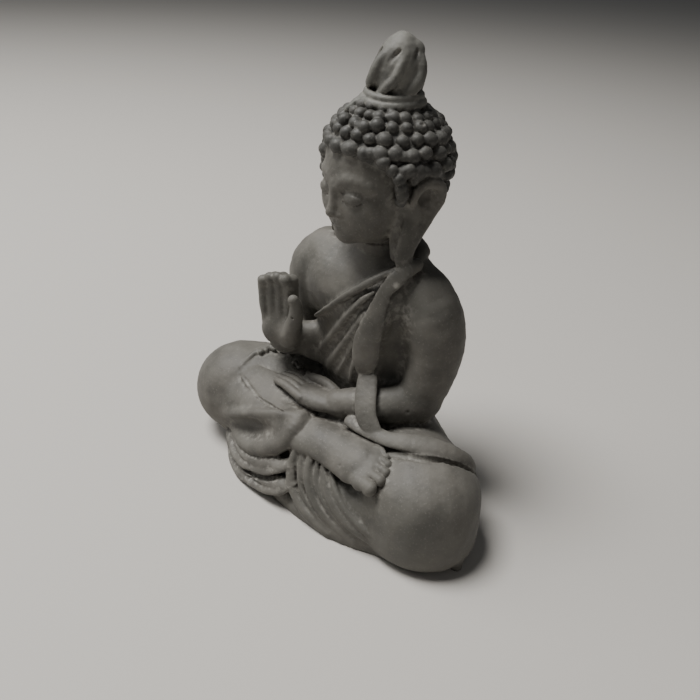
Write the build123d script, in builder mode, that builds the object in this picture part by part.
from build123d import *

import math
import os

# Seated figure cast in resin, in millimetres. +X is the figure's left, -Y its front, +Z up.
# It is drawn about its spine and exported with its origin under the middle of its box, on the table.

# Driving dimensions
WIDTH = 50.4  # knee to knee
FRONT_Y = -12.0  # the front hem
BACK_Y = 12.0  # the seat's back
HEIGHT = 60.4  # table to flame tip
SPINE_Y = 5.2  # the upright axis of trunk, neck and flame
CENTRE_Y = 0.924  # the middle of the whole figure's box, hair included
SHOULDER_Z = 30.0
SHOULDER_X = 9.8
SHOULDER_R = 4.2
KNEE_R = 7.1
KNEE_X = WIDTH / 2 - KNEE_R
KNEE_Y = -3.4
CLOTH = 0.8  # thickness of the draped robe
HEAD_YAW = -8.0  # the head turns a little to its own right
HEAD_CENTRE = (-0.2, 3.6, 44.2)
HAIR_CENTRE = (0.1, 5.3, 46.2)
HAIR_RADII = (7.4, 7.5, 6.9)
RING_Z = 52.6
FLAME_Z = 54.3


def ellipsoid(centre, radii, tilt=(0, 0, 0), mode=Mode.ADD):
    """Adds an ellipsoid to the part being built."""
    ball = scale(Sphere(1, mode=Mode.PRIVATE), by=radii, mode=Mode.PRIVATE)
    add(Pos(*centre) * Rot(*tilt) * ball, mode=mode)


def across(origin, along):
    """The plane across a limb, with its own X level where it can be."""
    level = along.cross(Vector(0, 0, 1)) if abs(along.Z) < 0.85 else along.cross(Vector(0, 1, 0))
    return Plane(origin=origin, x_dir=level.normalized(), z_dir=along)


END_ANGLES = (38, 68)  # degrees round the ball at a limb's end where a section is set


def rounded_end(station, outwards):
    """Stations that close a limb with a ball, from the limb outwards."""
    centre, radius = station
    extra = []
    for angle in END_ANGLES:
        reach = radius * math.sin(math.radians(angle))
        extra.append((centre + outwards * reach, radius * math.cos(math.radians(angle))))
    return extra


def limb(stations, flat=1.0, mode=Mode.ADD, round_ends=True):
    """Adds a limb through (point, radius) stations; flat scales its sections' second axis."""
    path = [(Vector(*point), radius) for point, radius in stations]
    first_along = (path[1][0] - path[0][0]).normalized()
    last_along = (path[-1][0] - path[-2][0]).normalized()
    if round_ends:
        path = rounded_end(path[0], -first_along)[::-1] + path + rounded_end(path[-1], last_along)
    sections = []
    for index, (centre, radius) in enumerate(path):
        before = path[max(index - 1, 0)][0]
        after = path[min(index + 1, len(path) - 1)][0]
        with BuildSketch(across(centre, (after - before).normalized())) as section:
            if flat == 1.0:
                Circle(radius)
            else:
                Ellipse(radius, radius * flat)
        sections.append(section.sketch.face())
    loft(sections=sections, mode=mode)


def keep_largest(builder):
    """Drops the slivers that trimming leaves beside a piece."""
    add(builder.part.solids().sort_by(SortBy.VOLUME)[-1], mode=Mode.REPLACE)


def trim(*neighbours):
    """Cuts neighbouring pieces out of the part being built, so that they meet face to face."""
    for neighbour in neighbours:
        add(neighbour.part, mode=Mode.SUBTRACT)


def stand_on_table():
    """Cuts the part being built flat at the table."""
    split(bisect_by=Plane.XY, keep=Keep.TOP)


# Trunk: bare on the right shoulder, dressed elsewhere
TRUNK_SECTIONS = (  # height, half width, half depth, centre in Y
    (9.0, 9.0, 5.6, 5.2),
    (14.0, 8.0, 5.3, 5.2),
    (18.0, 7.9, 5.4, 5.0),
    (23.0, 9.0, 5.8, 4.8),
    (28.0, 10.0, 5.6, 5.0),
    (32.0, 8.6, 4.6, 5.4),
    (34.5, 4.6, 3.6, 5.8),
)


def trunk_loft(extra, mode=Mode.ADD):
    """Adds the trunk, grown outwards by extra."""
    sections = []
    for height, half_width, half_depth, centre_y in TRUNK_SECTIONS:
        with BuildSketch(Plane.XY.offset(height)) as section:
            with Locations((0, centre_y)):
                Ellipse(half_width + extra, half_depth + extra)
        sections.append(section.sketch.face())
    loft(sections=sections, mode=mode)


with BuildPart() as torso:
    trunk_loft(0)

ROBE_EDGE = Plane(origin=(0, 0, 29.5), z_dir=(-0.62, 0, 0.78))
with BuildPart() as robe:
    trunk_loft(CLOTH)
    split(bisect_by=ROBE_EDGE, keep=Keep.BOTTOM)
    trim(torso)
    keep_largest(robe)

# Neck and head
with BuildPart() as neck:
    limb([((0, 5.6, 33.5), 3.9), ((0, 5.3, 36.0), 3.4), ((0, 4.9, 39.0), 3.5)], round_ends=False)
    trim(torso, robe)
    keep_largest(neck)

with BuildPart() as head:
    ellipsoid((0, 0.9, 1.9), (6.4, 6.9, 6.4))
    ellipsoid((0, -0.8, -1.6), (5.6, 6.1, 6.6))
    limb([((0, -5.7, 1.8), 0.7), ((0, -6.8, -2.0), 1.0)])
    for side in (-1, 1):
        ellipsoid((side * 2.5, -5.3, 0.7), (1.5, 0.9, 0.8))
    ellipsoid((0, -6.0, -4.3), (1.6, 0.8, 0.6))
    ellipsoid((0, -4.2, -6.0), (2.0, 1.6, 1.5))
    head.part = Pos(*HEAD_CENTRE) * Rot(8, 0, HEAD_YAW) * head.part
    trim(neck)
    keep_largest(head)

EAR_STATIONS = (  # from the rim's top to the long lobe, half thickness in X
    ((6.9, 5.0, 46.0), 0.4),
    ((7.3, 4.9, 44.4), 0.7),
    ((7.0, 4.1, 41.6), 0.6),
    ((6.5, 3.3, 38.6), 0.4),
    ((6.4, 3.0, 36.4), 0.3),
)
with BuildPart() as left_ear:
    limb(EAR_STATIONS, flat=2.7, round_ends=False)
    trim(torso, robe, neck, head)
    keep_largest(left_ear)

with BuildPart() as right_ear:
    add(mirror(left_ear.part, about=Plane.YZ, mode=Mode.PRIVATE))
    trim(torso, robe, neck, head)
    keep_largest(right_ear)

# Hair: a cap with rows of snail curls, and the flame on its collar
HAIRLINE = Plane(origin=(0, -3.0, 48.3), z_dir=(0, 0.48, 0.88))
with BuildPart() as hair_cap:
    ellipsoid(HAIR_CENTRE, HAIR_RADII)
    split(bisect_by=HAIRLINE, keep=Keep.TOP)
    trim(head, neck, left_ear, right_ear)
    keep_largest(hair_cap)

RING_R = 3.9
FLAME_AXIS = Plane(origin=(0.1, 5.4, 0))
with BuildPart() as flame_collar:
    with BuildSketch(Plane.XZ) as collar_profile:
        with Locations((RING_R / 2, (RING_Z + FLAME_Z) / 2 - 0.5)):
            Rectangle(RING_R, FLAME_Z - RING_Z + 1.0)
        fillet(collar_profile.vertices().sort_by(Axis.X)[-2:], radius=0.6)
    revolve(axis=Axis.Z)
    flame_collar.part = FLAME_AXIS.location * flame_collar.part
    trim(hair_cap, head)
    keep_largest(flame_collar)

FLAME_SECTIONS = (  # height, radius, twist in degrees
    (FLAME_Z, 2.9, 0),
    (FLAME_Z + 1.6, 3.3, 14),
    (FLAME_Z + 3.4, 2.8, 32),
    (FLAME_Z + 5.0, 1.9, 50),
    (HEIGHT, 0.9, 64),
)
with BuildPart() as flame:
    flame_outlines = []
    for height, radius, twist in FLAME_SECTIONS:
        with BuildSketch(Plane.XY.offset(height)) as flame_outline:
            RegularPolygon(radius, 5, rotation=twist)
            fillet(flame_outline.vertices(), radius=radius * 0.3)
        flame_outlines.append(flame_outline.sketch.face())
    loft(sections=flame_outlines)
    flame.part = FLAME_AXIS.location * flame.part

CURL_R = 0.95
CURL_PITCH = 2.05
CURL_ROWS = 8
with BuildPart() as curl:
    with Locations((0, 0, 0.35)):
        Sphere(CURL_R)
    split(bisect_by=Plane.XY, keep=Keep.TOP)


def curl_places():
    """Staggered rows of places on the cap, each standing square to its surface."""
    places = []
    for row in range(CURL_ROWS):
        polar = math.radians(37 + row * 14.5)
        ring = HAIR_RADII[0] * math.sin(polar)
        count = max(int(2 * math.pi * ring / CURL_PITCH), 1)
        for index in range(count):
            turn = 2 * math.pi * (index + 0.5 * (row % 2)) / count
            unit = Vector(math.sin(polar) * math.cos(turn), math.sin(polar) * math.sin(turn), math.cos(polar))
            offset = Vector(*(axis * radius for axis, radius in zip(unit, HAIR_RADII)))
            normal = Vector(*(axis / radius for axis, radius in zip(unit, HAIR_RADII)))
            place = Vector(*HAIR_CENTRE) + offset
            above_hairline = (place - HAIRLINE.origin).dot(HAIRLINE.z_dir)
            beside_ear = abs(place.X) > 5.0 and place.Z < 46.5 and 1.5 < place.Y < 7.0
            if above_hairline > 0.95 and not beside_ear:
                places.append(Plane(origin=place, z_dir=normal.normalized()).location)
    return places


with BuildPart() as hair_curls:
    with Locations(*curl_places()):
        add(curl.part)
    trim(head, left_ear, right_ear, flame_collar)

# Seat and crossed legs
SEAT_SECTIONS = (  # height, half width, half depth
    (0, 12.0, 6.2),
    (3.5, 13.0, BACK_Y - SPINE_Y),
    (8.0, 12.0, 6.5),
    (13.0, 9.4, 5.6),
)
with BuildPart() as seat:
    seat_sections = []
    for height, half_width, half_depth in SEAT_SECTIONS:
        with BuildSketch(Plane.XY.offset(height)) as seat_section:
            with Locations((0, SPINE_Y)):
                Ellipse(half_width, half_depth)
        seat_sections.append(seat_section.sketch.face())
    loft(sections=seat_sections)
    trim(torso, robe)
    keep_largest(seat)

with BuildPart() as left_thigh:
    limb([((7, 4.6, 7.4), 6.2), ((13, 0.4, 7.2), 6.8), ((KNEE_X, KNEE_Y, 6.9), KNEE_R)])
    stand_on_table()
    trim(torso, robe, seat)
    keep_largest(left_thigh)

with BuildPart() as right_thigh:
    limb([((-7, 4.6, 7.6), 6.2), ((-13, 0.4, 7.6), 6.8), ((-KNEE_X, KNEE_Y, 7.3), KNEE_R)])
    stand_on_table()
    trim(torso, robe, seat, left_thigh)
    keep_largest(right_thigh)

with BuildPart() as left_shin:
    limb([((15, -5.6, 4.4), 4.5), ((6, -7.0, 4.2), 3.9), ((-6, -6.9, 3.9), 3.6)])
    stand_on_table()
    trim(left_thigh, right_thigh, seat)
    keep_largest(left_shin)

with BuildPart() as right_shin:
    limb([((-14.5, -5.4, 6.8), 4.5), ((-7, -6.8, 8.4), 3.5), ((-1.2, -7.8, 9.8), 2.6)])
    trim(left_thigh, right_thigh, seat, left_shin)
    keep_largest(right_shin)

with BuildPart() as right_foot:
    limb([((-0.6, -7.9, 10.2), 2.5), ((4.5, -7.6, 10.8), 2.9), ((9.6, -6.4, 11.2), 3.2)], flat=0.7,
         round_ends=False)
    trim(right_shin, left_thigh, left_shin, seat)
    keep_largest(right_foot)

with BuildPart() as right_toes:
    for index in range(5):
        reach = 12.2 - 0.15 * index
        toe_y = -9.0 + 1.35 * index
        toe_r = 0.85 - 0.06 * index
        limb([((9.4, toe_y, 11.2), toe_r), ((reach, toe_y + 0.5, 11.2), toe_r)])
    trim(right_foot, left_thigh, left_shin)

# Cloth over the lap and in front of the shins
with BuildPart() as lap_cloth:
    ellipsoid((0, -1.4, 4.8), (14.5, 6.6, 8.6))
    stand_on_table()
    trim(torso, robe, seat, left_thigh, right_thigh, left_shin, right_shin, right_foot, right_toes)
    keep_largest(lap_cloth)

with BuildPart() as robe_hem:
    limb([((-15.0, -5.4, 12.6), 0.9), ((-8.5, -6.4, 12.4), 1.1), ((-2.5, -5.9, 12.4), 1.1),
          ((4.3, -4.5, 12.9), 1.1), ((12.0, -3.2, 13.6), 1.0), ((20.4, 1.4, 12.4), 0.8)])
    trim(seat, left_thigh, right_thigh, right_shin, right_foot, right_toes, lap_cloth)
    keep_largest(robe_hem)

with BuildPart() as knee_fold:
    limb([((-15.8, -4.6, 14.0), 0.8), ((-14.8, -1.4, 14.9), 0.9), ((-13.2, 2.4, 14.9), 0.8)])
    trim(right_thigh, robe_hem, lap_cloth)
    keep_largest(knee_fold)

LEDGE_PATHS = (  # from under the right knee to below the ankle
    (((-16.6, -6.8, 1.5), 1.3), ((-10.0, -9.0, 1.7), 1.7), ((-3.0, -10.2, 1.7), 1.6)),
    (((-15.8, -7.6, 4.2), 1.2), ((-9.6, -9.2, 4.6), 1.4), ((-3.0, -10.0, 4.9), 1.3)),
)
with BuildPart() as hem_ledges:
    for ledge_path in LEDGE_PATHS:
        limb(ledge_path)
    stand_on_table()
    trim(right_thigh, left_shin, right_shin)

FAN_FOLDS = 4
with BuildPart() as fan_folds:
    for index in range(FAN_FOLDS):
        limb([((0.4 + 1.5 * index, -9.9, 7.6), 0.6),
              ((1.4 + 2.2 * index, -10.9 + 0.15 * index, 4.2 + 0.4 * index), 0.8),
              ((5.0 + 2.4 * index, -10.9 + 0.35 * index, 1.8 + 1.2 * index), 0.8),
              ((11.0 + 1.6 * index, -10.2 + 0.8 * index, 1.3 + 1.5 * index), 0.6)])
    trim(left_shin, left_thigh, hem_ledges)

with BuildPart() as front_hem:
    with BuildSketch():
        with BuildLine():
            front_edge = ThreePointArc((-17.0, -7.6), (1.4, FRONT_Y), (19.6, -7.6))
            Polyline(front_edge @ 1, (16.0, -3.0), (-14.0, -3.0), front_edge @ 0)
        make_face()
    extrude(amount=1.4)
    fillet(front_hem.faces().sort_by(Axis.Z)[-1].edges().sort_by(Axis.Y)[0], radius=0.8)
    trim(seat, left_thigh, right_thigh, left_shin, right_shin, hem_ledges, fan_folds, lap_cloth)
    keep_largest(front_hem)

# Arms and hands
with BuildPart() as left_upper_arm:
    limb([((SHOULDER_X, SPINE_Y, SHOULDER_Z), SHOULDER_R), ((11.6, 5.4, 25.0), 3.9),
          ((12.4, 5.0, 20.0), 3.5), ((12.2, 4.0, 16.6), 3.2)])
    trim(torso, robe, seat, left_thigh, neck, lap_cloth)
    keep_largest(left_upper_arm)

with BuildPart() as left_forearm:
    limb([((12.2, 3.8, 16.4), 3.1), ((7.2, 0.0, 15.4), 2.8), ((2.4, -3.0, 14.4), 2.1)])
    trim(torso, robe, seat, left_thigh, left_upper_arm, lap_cloth, robe_hem)
    keep_largest(left_forearm)

with BuildPart() as left_hand:
    limb([((2.0, -3.3, 14.1), 1.9), ((-3.0, -4.0, 13.9), 2.3), ((-8.2, -3.6, 13.8), 1.6)], flat=0.62,
         round_ends=False)
    trim(left_forearm, torso, robe, lap_cloth, robe_hem, left_thigh, right_thigh, right_shin)
    keep_largest(left_hand)

with BuildPart() as right_upper_arm:
    limb([((-SHOULDER_X, SPINE_Y, SHOULDER_Z), SHOULDER_R), ((-11.8, 5.2, 25.0), 3.8),
          ((-12.9, 4.6, 20.6), 3.4), ((-12.8, 3.6, 17.6), 3.1)])
    trim(torso, robe, seat, right_thigh, neck, lap_cloth, knee_fold)
    keep_largest(right_upper_arm)

with BuildPart() as right_forearm:
    limb([((-12.8, 3.2, 17.6), 3.0), ((-11.2, -0.6, 18.4), 2.7), ((-9.4, -3.2, 20.4), 2.3)])
    trim(torso, robe, right_thigh, right_upper_arm, lap_cloth, knee_fold)
    keep_largest(right_forearm)

PALM_X = -8.7
with BuildPart() as right_palm:
    limb([((PALM_X - 0.4, -3.8, 20.8), 2.4), ((PALM_X - 0.1, -4.4, 23.6), 3.2), ((PALM_X, -4.8, 26.6), 3.3)],
         flat=0.52, round_ends=False)
    trim(right_forearm, torso, robe)
    keep_largest(right_palm)

FINGER_LENGTHS = (3.6, 4.6, 4.9, 4.4)  # little finger to index finger
FINGER_PITCH = 1.6
with BuildPart() as right_fingers:
    for index, length in enumerate(FINGER_LENGTHS):
        finger_x = PALM_X + (index - 1.5) * FINGER_PITCH
        limb([((finger_x, -4.8, 26.2), 0.78), ((finger_x, -5.0, 26.4 + length), 0.7)])
    trim(right_palm)

with BuildPart() as right_thumb:
    limb([((PALM_X + 2.6, -5.4, 22.6), 1.1), ((PALM_X + 3.6, -6.2, 25.4), 0.9), ((PALM_X + 3.2, -6.4, 27.4), 0.7)])
    trim(right_palm, right_fingers, right_forearm)
    keep_largest(right_thumb)

# Sash from the left shoulder, the cloth over the wrist, and the rolled collar
with BuildPart() as sash:
    limb([((7.4, 5.6, 34.4), 1.5), ((6.9, 2.8, 33.5), 1.7), ((6.3, 0.3, 30.4), 1.8), ((5.5, -0.8, 26.4), 1.8),
          ((4.8, -1.1, 22.4), 2.0), ((4.4, -0.9, 19.0), 0.8)], flat=0.5, round_ends=False)
    trim(torso, robe, neck, left_upper_arm, left_forearm)
    keep_largest(sash)

with BuildPart() as wrist_cloth:
    limb([((4.5, -2.2, 18.6), 1.2), ((4.3, -4.6, 16.4), 1.5), ((5.0, -5.4, 13.6), 1.4)], flat=0.5,
         round_ends=False)
    trim(torso, robe, sash, left_forearm, left_hand, robe_hem, left_thigh, right_foot)
    keep_largest(wrist_cloth)

with BuildPart() as collar_roll:
    limb([((6.0, 7.0, 34.6), 0.8), ((3.4, 9.3, 34.6), 0.9), ((-0.6, 9.9, 33.6), 0.9), ((-5.0, 9.2, 31.4), 0.7)])
    trim(torso, robe, neck, sash, left_upper_arm)
    keep_largest(collar_roll)

# Sprue nub left at the left knee
with BuildPart() as casting_nub:
    with Locations((KNEE_X + 5.2, KNEE_Y - 0.6, 0)):
        Cylinder(0.7, 3.0, align=(Align.CENTER, Align.CENTER, Align.MIN))
    trim(left_thigh, left_shin, front_hem)
    keep_largest(casting_nub)

pieces = {
    "torso": torso, "robe": robe, "collar_roll": collar_roll, "sash": sash, "wrist_cloth": wrist_cloth,
    "neck": neck, "head": head, "left_ear": left_ear, "right_ear": right_ear, "hair_cap": hair_cap,
    "hair_curls": hair_curls, "flame_collar": flame_collar, "flame": flame,
    "left_upper_arm": left_upper_arm, "left_forearm": left_forearm, "left_hand": left_hand,
    "right_upper_arm": right_upper_arm, "right_forearm": right_forearm, "right_palm": right_palm,
    "right_fingers": right_fingers, "right_thumb": right_thumb,
    "seat": seat, "left_thigh": left_thigh, "right_thigh": right_thigh, "left_shin": left_shin,
    "right_shin": right_shin, "right_foot": right_foot, "right_toes": right_toes,
    "lap_cloth": lap_cloth, "robe_hem": robe_hem, "knee_fold": knee_fold, "hem_ledges": hem_ledges,
    "fan_folds": fan_folds, "front_hem": front_hem, "casting_nub": casting_nub,
}

os.makedirs("parts", exist_ok=True)
for name, piece in pieces.items():
    piece.part = Pos(0, -CENTRE_Y, 0) * piece.part
    piece.part.label = name
    export_step(piece.part, f"parts/{name}.step")
